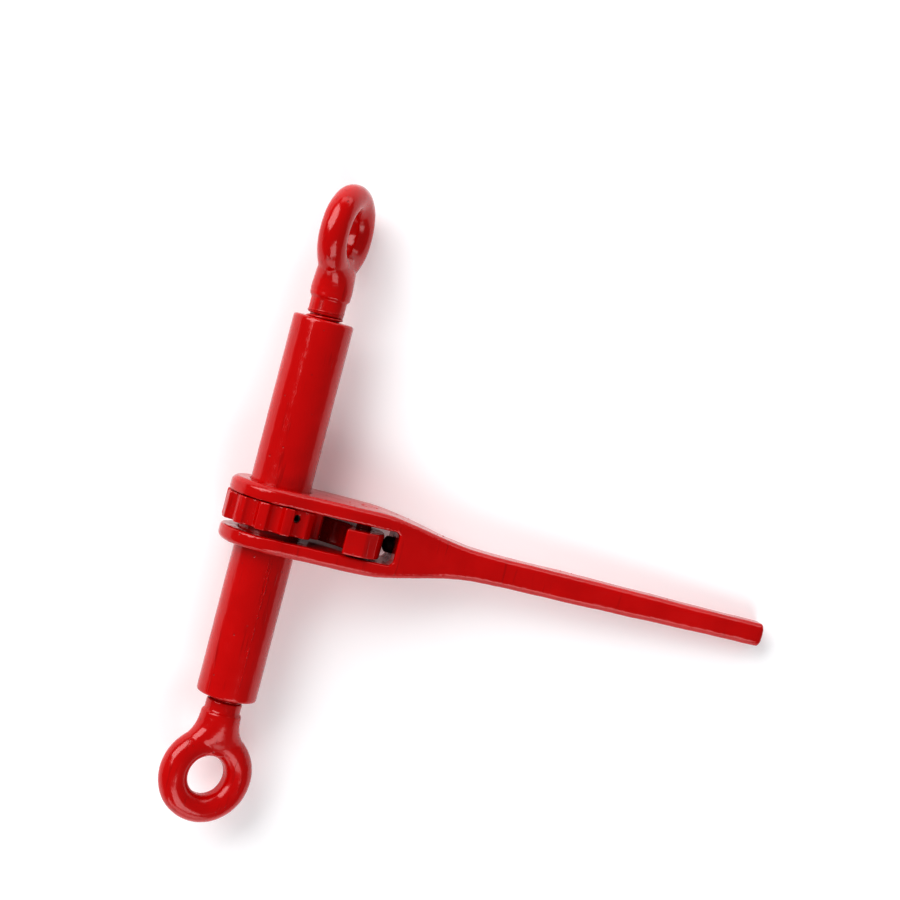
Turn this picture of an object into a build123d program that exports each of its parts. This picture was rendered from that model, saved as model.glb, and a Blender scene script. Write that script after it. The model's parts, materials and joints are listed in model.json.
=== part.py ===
"""Ratchet load binder, eye and eye: an internally threaded barrel that a drop-forged ratchet handle turns.

Every solid is first made about the gear centre: Y runs along the barrel axis towards the upper eye, X runs
along the handle and Z points up.  The handle and the pieces it carries are then drooped about the barrel
axis until the grip rests on the floor, and everything is moved so that the origin is the centre of the
bounding box in plan, at floor level.  Lengths are in millimetres.
"""

import os
from math import asin, atan, cos, degrees, hypot, radians, sin

from build123d import *

# Excess length of trimming bodies beyond the piece they shape, and of cutters beyond a thin piece
OVERRUN = 20.0
CUTTER_OVERRUN = 1.0

# Barrel
BARREL_RADIUS = 20.0
BARREL_TOP = 130.3
BARREL_BOTTOM = -123.7
BARREL_EDGE_ROUND = 1.8
BARREL_RELIEF_RADIUS = 13.3
BARREL_THREAD_LENGTH = 26.0
BARREL_MOUTH_CHAMFER = 2.4

# Screw thread, shared by both ends: left hand at the upper end, right hand at the lower end
THREAD_LEAD = 4.0
SCREW_MAJOR_RADIUS = 12.0
SCREW_ROOT_RADIUS = 10.0
SCREW_ROOT_WIDTH = 2.9
SCREW_CREST_WIDTH = 1.0
THREAD_RADIAL_GAP = 0.3
THREAD_FLANK_GAP = 0.25
THREAD_OVERLAP = 0.4
NUT_RADIUS = SCREW_ROOT_RADIUS + THREAD_RADIAL_GAP
TAP_RUNOUT = 0.1

# Eye bolts: stations are distances from the eye centre towards the barrel
EYE_RING_RADIUS = 22.6
EYE_BAR_RADIUS = 9.6
EYE_HOLE_RADIUS = 13.4
EYE_NECK_WIDTH = 15.0
EYE_NECK_DEPTH = 10.5
EYE_NECK_FLARE = 2.0
NECK_SINK = 13.0
NECK_BLEND = 8.0
COLLAR_OVERLAP = 1.0
COLLAR_RADIUS = 13.4
COLLAR_START = 28.0
COLLAR_END = 42.5
SHANK_RADIUS = 11.75
SHANK_START = 44.3
THREAD_START = 51.0
THREAD_SHOULDER = 1.5
SCREW_END = 172.0
SCREW_TIP_CHAMFER = 1.6
UPPER_EYE_CENTRE = 187.3
LOWER_EYE_CENTRE = -177.7
UPPER_EYE_TURN = 67.0
LOWER_EYE_TURN = 22.0

# Stop rings: split rings in a groove near the inner end of each screw
GROOVE_START = 164.6
GROOVE_WIDTH = 3.4
GROOVE_RADIUS = 8.5
RING_THICKNESS = 2.7
RING_INNER_RADIUS = 8.9
RING_OUTER_RADIUS = 12.7
RING_GAP = 6.0

# Ratchet gear and the roll pins that lock it to the barrel
GEAR_TEETH = 12
GEAR_TIP_RADIUS = 32.95
GEAR_ROOT_RADIUS = 28.7
GEAR_WIDTH = 17.8
GEAR_LAND_ANGLE = 12.0
GEAR_EDGE_ROUND = 1.1
GEAR_PHASE = 14.6
GEAR_BORE_GAP = 0.02
ROLL_PIN_RADIUS = 2.5
ROLL_PIN_BORE = 1.6
ROLL_PIN_SLOT = 0.9
ROLL_PIN_HOLE_GAP = 0.05
ROLL_PIN_INNER_END = 14.2
ROLL_PIN_OUTER_END = 28.0
ROLL_PIN_HEIGHT = 3.0

# Handle: an open fork round the gear that narrows into a flat grip
HANDLE_HEIGHT_OFFSET = -1.9
HANDLE_RING_RADIUS = 32.0
HANDLE_LENGTH = 342.5
HANDLE_BORE_RADIUS = 20.3
HANDLE_TIP_HALF_WIDTH = 7.8
HANDLE_TIP_HALF_DEPTH = 9.0
HANDLE_BEVEL = 2.6
CHEEK_LEAVE_ANGLE = 12.0
FORK_TURN_IN = 12.0
SHORTEST_BEVELLED_EDGE = 6.0
TIP_TAPER = 0.2
FORK_HALF_WIDTH = 21.2
SLOT_HALF_WIDTH = 11.2
SLOT_END = 81.0
SLOT_CORNER_ROUND = 3.5

# Half widths (across the fork) and half depths (through it) at stations along the handle
HANDLE_HALF_WIDTHS = (
    (70.0, 20.9),
    (83.0, 19.2),
    (104.0, 15.1),
    (123.0, 11.6),
    (143.0, 9.8),
    (182.0, 9.3),
    (240.0, 8.75),
    (300.0, 8.0),
)
HANDLE_HALF_DEPTHS = (
    (60.0, 26.2),
    (82.0, 21.2),
    (105.0, 16.4),
    (130.0, 13.2),
    (165.0, 11.6),
    (220.0, 10.8),
    (290.0, 9.8),
)

# Pawl: a rocker with a front and a rear horn, drawn about its pivot with +X away from the gear
PIVOT_X = 60.0
PAWL_CENTRE = -3.2
PAWL_HEIGHT = 16.5
PAWL_ROCK = 20.85
PAWL_BORE_GAP = 0.08
PAWL_TIP = (-25.66, 23.83)
PAWL_SHOULDER = (-12.26, 27.97)
PAWL_FLANK = (-2.18, 25.39)
PAWL_FLANK_MIDDLE = (5.6, 18.4)
PAWL_INNER = (-16.0, 11.0)
PAWL_SADDLE = -10.5
PAWL_CAM_RADIUS = 14.0
PAWL_CAM_ANGLE = 45.0
PAWL_TIP_ROUND = 1.2
PAWL_SHOULDER_ROUND = 3.0
PAWL_INNER_ROUND = 4.0
PAWL_EDGE_ROUND = 0.9
PAWL_SEAT_RADIUS = 4.5
PAWL_SEAT_DEPTH = 1.0

# Pawl pin: flush at the upper cheek, headed over at the lower one
PIN_RADIUS = 5.0
PIN_HEAD_RADIUS = 6.2
PIN_HEAD_HEIGHT = 1.5
PIN_HEAD_DOME = 2.0
PIN_END_CHAMFER = 0.6

# Detent plunger and its spring, in a blind bore at the closed end of the fork
PLUNGER_RADIUS = 5.4
PLUNGER_NOSE_RADIUS = 7.0
PLUNGER_NOSE_GAP = 0.3
PLUNGER_NOSE_X = PIVOT_X + PAWL_CAM_RADIUS + PLUNGER_NOSE_GAP
PLUNGER_LENGTH = 17.0
PLUNGER_SOCKET_RADIUS = 4.2
PLUNGER_SOCKET_DEPTH = 11.0
PLUNGER_BORE_RADIUS = 5.7
PLUNGER_BORE_END = 104.0
SPRING_RADIUS = 3.3
SPRING_WIRE_RADIUS = 0.6
SPRING_TURNS = 7
SPRING_SEAT_GAP = 0.15


def turned(points):
    """Solid of revolution about the Y axis through (radius, y) points, closed along the axis."""
    first, last = points[0], points[-1]
    outline = Polyline((0, first[1]), *points, (0, last[1]), close=True)
    return revolve(make_face(outline), axis=Axis.Y)


def rod(radius, low, high):
    """Cylinder about the Y axis between two heights."""
    return Pos(0, (low + high) / 2, 0) * Rot(90, 0, 0) * Cylinder(radius, high - low)


def thread_ridge(start, length, inner, outer, inner_width, outer_width):
    """Left-hand helical ridge of trapezoid section about the Y axis, from start towards +Y."""
    path = Helix(
        pitch=THREAD_LEAD,
        height=length,
        radius=inner,
        center=(0, start, 0),
        direction=(0, 1, 0),
        lefthand=True,
    )
    frame = Plane(origin=path @ 0, x_dir=(path @ 0) - Vector(0, start, 0), z_dir=path % 0)
    outline = Polyline(
        frame.from_local_coords((0, -inner_width / 2, 0)),
        frame.from_local_coords((outer - inner, -outer_width / 2, 0)),
        frame.from_local_coords((outer - inner, outer_width / 2, 0)),
        frame.from_local_coords((0, inner_width / 2, 0)),
        close=True,
    )
    return Solid(sweep(make_face(outline), path=path, is_frenet=True).wrapped)


def width_at(radius):
    """Axial width of the screw's ridge at a radius."""
    slope = (SCREW_ROOT_WIDTH - SCREW_CREST_WIDTH) / (SCREW_MAJOR_RADIUS - SCREW_ROOT_RADIUS)
    return SCREW_ROOT_WIDTH - slope * (radius - SCREW_ROOT_RADIUS)


def screw_ridge(start, length):
    """The left-hand ridge of a screw, sunk slightly into its core."""
    inner = SCREW_ROOT_RADIUS - THREAD_OVERLAP
    return thread_ridge(start, length, inner, SCREW_MAJOR_RADIUS, width_at(inner), SCREW_CREST_WIDTH)


def tap(eye_centre, shoulder):
    """Left-hand threaded hole of the upper barrel end, in phase with the screw of the eye at eye_centre."""
    inner = SCREW_ROOT_RADIUS - THREAD_OVERLAP
    outer = SCREW_MAJOR_RADIUS + THREAD_RADIAL_GAP
    play = 2 * THREAD_FLANK_GAP
    screw_start = eye_centre - THREAD_START
    start = screw_start - whole_turns(screw_start - shoulder + THREAD_LEAD + TAP_RUNOUT)
    length = whole_turns(BARREL_THREAD_LENGTH) + 4 * THREAD_LEAD
    groove = thread_ridge(start, length, inner, outer, width_at(inner) + play, width_at(outer) + play)
    return rod(NUT_RADIUS, start - THREAD_LEAD, start + length + THREAD_LEAD) + groove


def whole_turns(distance):
    """Distance rounded down to whole leads, so that ridges and grooves share one phase."""
    return THREAD_LEAD * int(distance // THREAD_LEAD)


def barrel():
    """Tube threaded at both ends and relieved between, with cross holes for the roll pins."""
    body = rod(BARREL_RADIUS, BARREL_BOTTOM, BARREL_TOP)
    body = fillet(body.edges().filter_by(GeomType.CIRCLE), BARREL_EDGE_ROUND)
    lower_shoulder = BARREL_BOTTOM + BARREL_THREAD_LENGTH
    upper_shoulder = BARREL_TOP - BARREL_THREAD_LENGTH
    body -= tap(UPPER_EYE_CENTRE, upper_shoulder)
    body -= mirror(tap(-LOWER_EYE_CENTRE, -lower_shoulder), about=Plane.XZ)
    body -= rod(BARREL_RELIEF_RADIUS, lower_shoulder, upper_shoulder)
    for end, inward in ((BARREL_TOP, -1), (BARREL_BOTTOM, 1)):
        body -= turned(
            (
                (NUT_RADIUS + BARREL_MOUTH_CHAMFER, end),
                (NUT_RADIUS, end + inward * BARREL_MOUTH_CHAMFER),
            )
        )
    for hole in pin_places(ROLL_PIN_RADIUS + ROLL_PIN_HOLE_GAP, 0.0, 2 * GEAR_TIP_RADIUS):
        body -= hole
    return body


def pin_places(radius, low, high):
    """Radial cylinders through the two gear valleys that carry roll pins."""
    valley = GEAR_PHASE + 180.0 / GEAR_TEETH
    blank = Pos(0, 0, (low + high) / 2) * Cylinder(radius, high - low)
    return [Pos(0, ROLL_PIN_HEIGHT, 0) * Rot(0, valley + turn, 0) * blank for turn in (0.0, 180.0)]


def gear():
    """Twelve-tooth ratchet wheel with dished valleys and rounded lands."""
    pitch = 360.0 / GEAR_TEETH
    rim = None
    for tooth in range(GEAR_TEETH):
        middle = GEAR_PHASE + tooth * pitch
        angles = [middle - GEAR_LAND_ANGLE / 2, middle + GEAR_LAND_ANGLE / 2, middle + pitch / 2]
        angles.append(middle + pitch - GEAR_LAND_ANGLE / 2)
        radii = [GEAR_TIP_RADIUS, GEAR_TIP_RADIUS, GEAR_ROOT_RADIUS, GEAR_TIP_RADIUS]
        spots = [(r * sin(radians(a)), r * cos(radians(a))) for r, a in zip(radii, angles)]
        crown = (GEAR_TIP_RADIUS * sin(radians(middle)), GEAR_TIP_RADIUS * cos(radians(middle)))
        piece = ThreePointArc(spots[0], crown, spots[1]) + ThreePointArc(spots[1], spots[2], spots[3])
        rim = piece if rim is None else rim + piece
    blank = extrude(make_face(rim), GEAR_WIDTH / 2, both=True)
    blank = fillet(blank.edges().filter_by(Axis.Z), GEAR_EDGE_ROUND)
    blank = fillet(blank.faces().sort_by(Axis.Z)[-1].edges(), GEAR_EDGE_ROUND / 2)
    blank = fillet(blank.faces().sort_by(Axis.Z)[0].edges(), GEAR_EDGE_ROUND / 2)
    bore = Cylinder(BARREL_RADIUS + GEAR_BORE_GAP, 3 * BARREL_RADIUS)
    wheel = Rot(90, 0, 0) * (mirror(blank, about=Plane.XZ) - bore)
    for hole in pin_places(ROLL_PIN_RADIUS + ROLL_PIN_HOLE_GAP, 0.0, 2 * GEAR_TIP_RADIUS):
        wheel -= hole
    return wheel


def roll_pins():
    """Two split spring pins, one each side of the barrel."""
    outers = pin_places(ROLL_PIN_RADIUS, ROLL_PIN_INNER_END, ROLL_PIN_OUTER_END)
    inners = pin_places(ROLL_PIN_BORE, 0.0, 2 * GEAR_TIP_RADIUS)
    valley = GEAR_PHASE + 180.0 / GEAR_TEETH
    pins = []
    for outer, inner, turn in zip(outers, inners, (0.0, 180.0)):
        split = Pos(0, ROLL_PIN_RADIUS, GEAR_TIP_RADIUS) * Box(
            ROLL_PIN_SLOT, 2 * ROLL_PIN_RADIUS, 2 * GEAR_TIP_RADIUS
        )
        split = Pos(0, ROLL_PIN_HEIGHT, 0) * Rot(0, valley + turn, 0) * split
        pins.append(outer - inner - split)
    return pins[0] + pins[1]


def eye_bolt(centre, eye_turn):
    """Forged eye, oval neck, collar, shank and left-hand screw, pointing towards -Y."""
    ring = Rot(90, 0, 0) * Rot(90, 0, 0) * Torus(EYE_RING_RADIUS, EYE_BAR_RADIUS)
    stations = (
        (COLLAR_START - NECK_SINK, Ellipse(EYE_NECK_WIDTH, EYE_NECK_DEPTH - EYE_NECK_FLARE)),
        (COLLAR_START, Ellipse(EYE_NECK_WIDTH, EYE_NECK_DEPTH)),
        (COLLAR_START + NECK_BLEND, Circle(COLLAR_RADIUS)),
    )
    planes = [Plane(origin=(0, -y, 0), z_dir=(0, -1, 0), x_dir=(1, 0, 0)) for y, _ in stations]
    neck = loft([plane * face for plane, (_, face) in zip(planes, stations)])
    eye = ring + neck - Cylinder(EYE_HOLE_RADIUS, 4 * EYE_BAR_RADIUS)
    groove_end = GROOVE_START + GROOVE_WIDTH
    core = turned(
        (
            (COLLAR_RADIUS, -COLLAR_START - NECK_BLEND + COLLAR_OVERLAP),
            (COLLAR_RADIUS, -COLLAR_END),
            (SHANK_RADIUS, -SHANK_START),
            (SHANK_RADIUS, -THREAD_START),
            (SCREW_ROOT_RADIUS, -THREAD_START - THREAD_SHOULDER),
            (SCREW_ROOT_RADIUS, -GROOVE_START),
            (GROOVE_RADIUS, -GROOVE_START),
            (GROOVE_RADIUS, -groove_end),
            (SCREW_ROOT_RADIUS, -groove_end),
            (SCREW_ROOT_RADIUS, -SCREW_END + SCREW_TIP_CHAMFER),
            (SCREW_ROOT_RADIUS - SCREW_TIP_CHAMFER, -SCREW_END),
        )
    )
    length = whole_turns(GROOVE_START - THREAD_START - THREAD_LEAD)
    screw = core + screw_ridge(-THREAD_START - length, length)
    return Pos(0, centre, 0) * (Rot(0, eye_turn, 0) * eye + screw)


def stop_ring(centre, side):
    """Split ring that stops a screw from leaving the barrel."""
    middle = centre - side * (GROOVE_START + GROOVE_WIDTH / 2)
    low, high = -RING_THICKNESS / 2, RING_THICKNESS / 2
    ring = rod(RING_OUTER_RADIUS, low, high) - rod(
        RING_INNER_RADIUS, low - CUTTER_OVERRUN, high + CUTTER_OVERRUN
    )
    ring -= Pos(0, 0, RING_OUTER_RADIUS) * Box(RING_GAP, 2 * RING_THICKNESS, 2 * RING_OUTER_RADIUS)
    return Pos(0, middle, 0) * ring


def handle():
    """One forging: two ring-shaped cheeks, the solid throat behind them and the bevelled grip."""
    reach = HANDLE_LENGTH + OVERRUN
    lean = radians(CHEEK_LEAVE_ANGLE)
    leave = (HANDLE_RING_RADIUS * sin(lean), HANDLE_RING_RADIUS * cos(lean))
    top = [leave, *HANDLE_HALF_DEPTHS, (reach, HANDLE_TIP_HALF_DEPTH - TIP_TAPER)]
    low = [(x, -z) for x, z in top]
    upper = Spline(*top, tangents=[(cos(lean), -sin(lean)), (1, -0.01)])
    lower = Spline(*low, tangents=[(cos(lean), sin(lean)), (1, 0.01)])
    closing = Line(upper @ 1, lower @ 1)
    back = ThreePointArc(leave, (-HANDLE_RING_RADIUS, 0), (leave[0], -leave[1]))
    side = extrude(Plane.XZ * make_face(upper + closing + lower + back), 2 * FORK_HALF_WIDTH, both=True)

    turn_in = HANDLE_HALF_WIDTHS[0][0] - FORK_TURN_IN
    tip_centre = HANDLE_LENGTH - HANDLE_TIP_HALF_WIDTH
    spots = [(turn_in, FORK_HALF_WIDTH), *HANDLE_HALF_WIDTHS, (tip_centre, HANDLE_TIP_HALF_WIDTH)]
    far = -HANDLE_RING_RADIUS - OVERRUN / 2
    plan = Spline(*spots, tangents=[(1, 0), (1, -0.005)])
    mirrored = Spline(*[(x, -y) for x, y in spots], tangents=[(1, 0), (1, 0.005)])
    tip = ThreePointArc(plan @ 1, (HANDLE_LENGTH, 0), mirrored @ 1)
    cheek_top = Line((far, FORK_HALF_WIDTH), plan @ 0)
    cheek_low = Line((far, -FORK_HALF_WIDTH), mirrored @ 0)
    cheek_back = Line((far, FORK_HALF_WIDTH), (far, -FORK_HALF_WIDTH))
    outline = make_face(cheek_back + cheek_top + plan + tip + mirrored + cheek_low)
    body = side & extrude(outline, 2 * HANDLE_RING_RADIUS, both=True)
    long_edges = [e for e in body.edges() if e.length > SHORTEST_BEVELLED_EDGE and not is_seam(e)]
    body = chamfer(long_edges, HANDLE_BEVEL)

    slot_start = -3 * OVERRUN
    slot = Box(SLOT_END - slot_start, 2 * SLOT_HALF_WIDTH, 4 * HANDLE_RING_RADIUS)
    slot = fillet(slot.edges().filter_by(Axis.Z), SLOT_CORNER_ROUND)
    body -= Pos((SLOT_END + slot_start) / 2, 0, 0) * slot
    body -= rod(HANDLE_BORE_RADIUS, -2 * FORK_HALF_WIDTH, 2 * FORK_HALF_WIDTH)
    body -= Pos(PIVOT_X, 0, 0) * rod(PIN_RADIUS, -2 * FORK_HALF_WIDTH, 2 * FORK_HALF_WIDTH)
    bore_start = SLOT_END - 2 * CUTTER_OVERRUN
    bore = Cylinder(PLUNGER_BORE_RADIUS, PLUNGER_BORE_END - bore_start)
    body -= Pos((PLUNGER_BORE_END + bore_start) / 2, 0, 0) * Rot(0, 90, 0) * bore
    return Pos(0, HANDLE_HEIGHT_OFFSET, 0) * body


def is_seam(edge):
    """True for edges where neighbouring faces run on smoothly, which lie straight along Y or Z."""
    direction = edge.position_at(1) - edge.position_at(0)
    if direction.length < 1e-6:
        return False
    straight = abs(direction.length - edge.length) < 1e-4
    direction = direction.normalized()
    return straight and max(abs(direction.Y), abs(direction.Z)) > 0.999


def stands_at(edge, corner):
    """True for an upright edge at a corner of the pawl's outline or at its mirror image."""
    spot = edge.center()
    return abs(spot.X - corner[0]) < 0.01 and abs(abs(spot.Y) - corner[1]) < 0.01


def pawl():
    """Symmetric two-horned rocker with a round cam back, turned to its rest position."""
    cam = (
        PAWL_CAM_RADIUS * cos(radians(PAWL_CAM_ANGLE)),
        PAWL_CAM_RADIUS * sin(radians(PAWL_CAM_ANGLE)),
    )

    def half(sign):
        """One half of the outline, from the saddle to the cam back."""
        corners = (PAWL_TIP, PAWL_SHOULDER, PAWL_FLANK, PAWL_FLANK_MIDDLE, PAWL_INNER, cam)
        tip, shoulder, flank, middle, inner, end = [(x, sign * z) for x, z in corners]
        horn = Line(inner, tip) + Line(tip, shoulder) + Line(shoulder, flank)
        return horn + ThreePointArc(flank, middle, end)

    back = ThreePointArc(cam, (PAWL_CAM_RADIUS, 0), (cam[0], -cam[1]))
    saddle = ThreePointArc(PAWL_INNER, (PAWL_SADDLE, 0), (PAWL_INNER[0], -PAWL_INNER[1]))
    blank = extrude(make_face(half(1) + half(-1) + back + saddle), PAWL_HEIGHT / 2, both=True)
    for corner, radius in (
        (PAWL_TIP, PAWL_TIP_ROUND),
        (PAWL_SHOULDER, PAWL_SHOULDER_ROUND),
        (PAWL_FLANK, PAWL_SHOULDER_ROUND),
        (PAWL_INNER, PAWL_INNER_ROUND),
    ):
        blank = fillet([e for e in blank.edges().filter_by(Axis.Z) if stands_at(e, corner)], radius)
    for end in (-1, 0):
        blank = fillet(blank.faces().sort_by(Axis.Z)[end].edges(), PAWL_EDGE_ROUND)
    blank -= Cylinder(PIN_RADIUS + PAWL_BORE_GAP, 2 * PAWL_HEIGHT)
    for angle in (-PAWL_ROCK, PAWL_ROCK):
        away = PAWL_CAM_RADIUS + PAWL_SEAT_RADIUS - PAWL_SEAT_DEPTH
        seat = (away * cos(radians(angle)), away * sin(radians(angle)), 0)
        blank -= Pos(*seat) * Cylinder(PAWL_SEAT_RADIUS, 2 * PAWL_HEIGHT)
    upright = Rot(90, 0, 0) * blank
    return Pos(PIVOT_X, PAWL_CENTRE, 0) * Rot(0, PAWL_ROCK, 0) * upright


def pawl_pin():
    """Rivet through both cheeks, headed over below."""
    low = HANDLE_HEIGHT_OFFSET - FORK_HALF_WIDTH
    high = HANDLE_HEIGHT_OFFSET + FORK_HALF_WIDTH
    shaft = turned(
        (
            (PIN_HEAD_RADIUS - PIN_HEAD_DOME, low - PIN_HEAD_HEIGHT),
            (PIN_HEAD_RADIUS, low),
            (PIN_RADIUS, low),
            (PIN_RADIUS, high - PIN_END_CHAMFER),
            (PIN_RADIUS - PIN_END_CHAMFER, high),
        )
    )
    return Pos(PIVOT_X, 0, 0) * shaft


def plunger():
    """Detent plunger: domed nose towards the pawl, socket for the spring behind."""
    end = PLUNGER_NOSE_X + PLUNGER_LENGTH
    body = Pos((PLUNGER_NOSE_X + end) / 2, 0, 0) * Rot(0, 90, 0) * Cylinder(PLUNGER_RADIUS, PLUNGER_LENGTH)
    dome_centre = PLUNGER_NOSE_X + PLUNGER_NOSE_RADIUS
    backing = Cylinder(PLUNGER_NOSE_RADIUS, PLUNGER_LENGTH)
    dome = Pos(dome_centre, 0, 0) * Sphere(PLUNGER_NOSE_RADIUS)
    dome += Pos(dome_centre + PLUNGER_LENGTH / 2, 0, 0) * Rot(0, 90, 0) * backing
    body &= dome
    socket = Cylinder(PLUNGER_SOCKET_RADIUS, PLUNGER_SOCKET_DEPTH)
    body -= Pos(end - PLUNGER_SOCKET_DEPTH / 2, 0, 0) * Rot(0, 90, 0) * socket
    return Pos(0, HANDLE_HEIGHT_OFFSET, 0) * body


def pawl_spring():
    """Compression spring between the plunger's socket and the end of its bore."""
    margin = SPRING_WIRE_RADIUS + SPRING_SEAT_GAP
    start = PLUNGER_NOSE_X + PLUNGER_LENGTH - PLUNGER_SOCKET_DEPTH + margin
    length = PLUNGER_BORE_END - margin - start
    path = Helix(
        pitch=length / SPRING_TURNS,
        height=length,
        radius=SPRING_RADIUS,
        center=(start, 0, 0),
        direction=(1, 0, 0),
    )
    section = Plane(origin=path @ 0, z_dir=path % 0) * Circle(SPRING_WIRE_RADIUS)
    coil = Solid(sweep(section, path=path, is_frenet=True).wrapped)
    return Pos(0, HANDLE_HEIGHT_OFFSET, 0) * coil


def handle_droop():
    """Angle about the barrel axis at which the grip's tip touches the same floor as the gear."""
    tip_x = HANDLE_LENGTH - HANDLE_BEVEL
    floor = gear_drop()
    lever = hypot(tip_x, HANDLE_TIP_HALF_DEPTH)
    return degrees(asin(floor / lever) - atan(HANDLE_TIP_HALF_DEPTH / tip_x))


def gear_drop():
    """How far the gear's lowest point lies below the barrel axis."""
    pitch = 360.0 / GEAR_TEETH
    nearest = min(abs((GEAR_PHASE + k * pitch) - 180.0) for k in range(GEAR_TEETH))
    off_land = max(0.0, nearest - GEAR_LAND_ANGLE / 2)
    return GEAR_TIP_RADIUS * cos(radians(off_land))


def main():
    """Builds every node in its place and writes its STEP file."""
    os.makedirs("parts", exist_ok=True)
    droop = Rot(0, handle_droop(), 0)
    nodes = {
        "barrel": barrel(),
        "ratchet_gear": gear(),
        "gear_roll_pins": roll_pins(),
        "upper_eye_bolt": eye_bolt(UPPER_EYE_CENTRE, UPPER_EYE_TURN),
        "lower_eye_bolt": mirror(eye_bolt(-LOWER_EYE_CENTRE, LOWER_EYE_TURN), about=Plane.XZ),
        "upper_stop_ring": stop_ring(UPPER_EYE_CENTRE, 1),
        "lower_stop_ring": stop_ring(LOWER_EYE_CENTRE, -1),
        "handle": droop * handle(),
        "pawl": droop * pawl(),
        "pawl_pin": droop * pawl_pin(),
        "detent_plunger": droop * plunger(),
        "detent_spring": droop * pawl_spring(),
    }
    boxes = [shape.bounding_box() for shape in nodes.values()]
    low = [min(getattr(b.min, k) for b in boxes) for k in "XYZ"]
    high = [max(getattr(b.max, k) for b in boxes) for k in "XYZ"]
    shift = Pos(-(low[0] + high[0]) / 2, -(low[1] + high[1]) / 2, -low[2])
    print("axis frame origin in the row frame (mm):", [round(v, 4) for v in shift.position])
    print("droop (degrees):", round(handle_droop(), 4))
    for name, shape in nodes.items():
        export_step(shift * shape, f"parts/{name}.step")


if __name__ == "__main__":
    main()
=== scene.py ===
"""Looks of a ratchet load binder: red-enamelled forgings and barrel, dark springs, and roll pins left
dark to paint the shade in the gap round each.

The CAD frame gives every size and place.  Each painted forging is its CAD solid, softened the way
thick enamel and die forging soften an edge, then made slightly uneven.  Screws, coil, paint runs and
paint nibs are Geometry Nodes.  Lengths are metres in the row frame: +Y along the barrel, +X along the
handle, +Z up.
"""

import json
import logging
import math
from dataclasses import dataclass, field
from enum import Enum

import bmesh
import bpy
import numpy as np
from mathutils import Euler, Matrix, Vector, noise

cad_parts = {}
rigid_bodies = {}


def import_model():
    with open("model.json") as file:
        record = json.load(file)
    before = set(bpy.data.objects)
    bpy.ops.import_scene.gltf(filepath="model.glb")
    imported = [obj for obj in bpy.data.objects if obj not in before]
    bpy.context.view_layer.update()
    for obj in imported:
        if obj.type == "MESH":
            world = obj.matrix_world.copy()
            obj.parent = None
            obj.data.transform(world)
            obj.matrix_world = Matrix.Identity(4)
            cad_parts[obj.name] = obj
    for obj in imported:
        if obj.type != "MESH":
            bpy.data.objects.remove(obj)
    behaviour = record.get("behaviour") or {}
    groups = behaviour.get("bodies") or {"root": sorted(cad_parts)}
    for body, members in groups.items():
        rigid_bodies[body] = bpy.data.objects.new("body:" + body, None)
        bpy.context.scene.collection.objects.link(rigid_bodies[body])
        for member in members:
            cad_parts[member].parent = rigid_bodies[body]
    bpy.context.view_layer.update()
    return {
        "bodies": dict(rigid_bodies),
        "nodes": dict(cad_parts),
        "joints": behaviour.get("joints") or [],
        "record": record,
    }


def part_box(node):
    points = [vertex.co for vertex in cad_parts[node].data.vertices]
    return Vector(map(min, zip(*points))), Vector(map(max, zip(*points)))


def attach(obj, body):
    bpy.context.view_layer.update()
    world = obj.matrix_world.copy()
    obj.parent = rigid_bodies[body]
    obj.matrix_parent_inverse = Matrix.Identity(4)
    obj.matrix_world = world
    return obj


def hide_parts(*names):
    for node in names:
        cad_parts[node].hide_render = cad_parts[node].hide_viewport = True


LOG = logging.getLogger("load_binder")
MM = 0.001
WELD_DISTANCE = 1e-6
Colour = tuple[float, float, float, float]


# ---------------------------------------------------------------- node graphs


class Wire:
    """One output socket with arithmetic on it, so that node maths reads as a formula."""

    def __init__(self, graph: "Graph", socket: bpy.types.NodeSocket) -> None:
        """Remembers the graph and the socket.

        Args:
            graph: the graph that the socket belongs to.
            socket: one output of one of its nodes.
        """
        self.graph = graph
        self.socket = socket

    def _math(self, operation: str, *values: object) -> "Wire":
        """Adds one Math node.

        Args:
            operation: Blender's name of the operation.
            values: sockets or numbers, in order.

        Returns:
            The node's result.
        """
        return self.graph.node("ShaderNodeMath", values, operation=operation)

    def __add__(self, other: object) -> "Wire":
        """Sum."""
        return self._math("ADD", self, other)

    def __radd__(self, other: object) -> "Wire":
        """Sum with a number on the left."""
        return self._math("ADD", other, self)

    def __sub__(self, other: object) -> "Wire":
        """Difference."""
        return self._math("SUBTRACT", self, other)

    def __mul__(self, other: object) -> "Wire":
        """Product."""
        return self._math("MULTIPLY", self, other)

    def __rmul__(self, other: object) -> "Wire":
        """Product with a number on the left."""
        return self._math("MULTIPLY", other, self)

    def step(self, low: float, high: float) -> "Wire":
        """Smooth rise from 0 to 1; it falls instead when low is above high.

        Args:
            low: where the result is 0.
            high: where the result is 1.

        Returns:
            The smoothed level.
        """
        return self.graph.node(
            "ShaderNodeMapRange", (self, low, high, 0.0, 1.0), interpolation_type="SMOOTHSTEP"
        )


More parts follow.
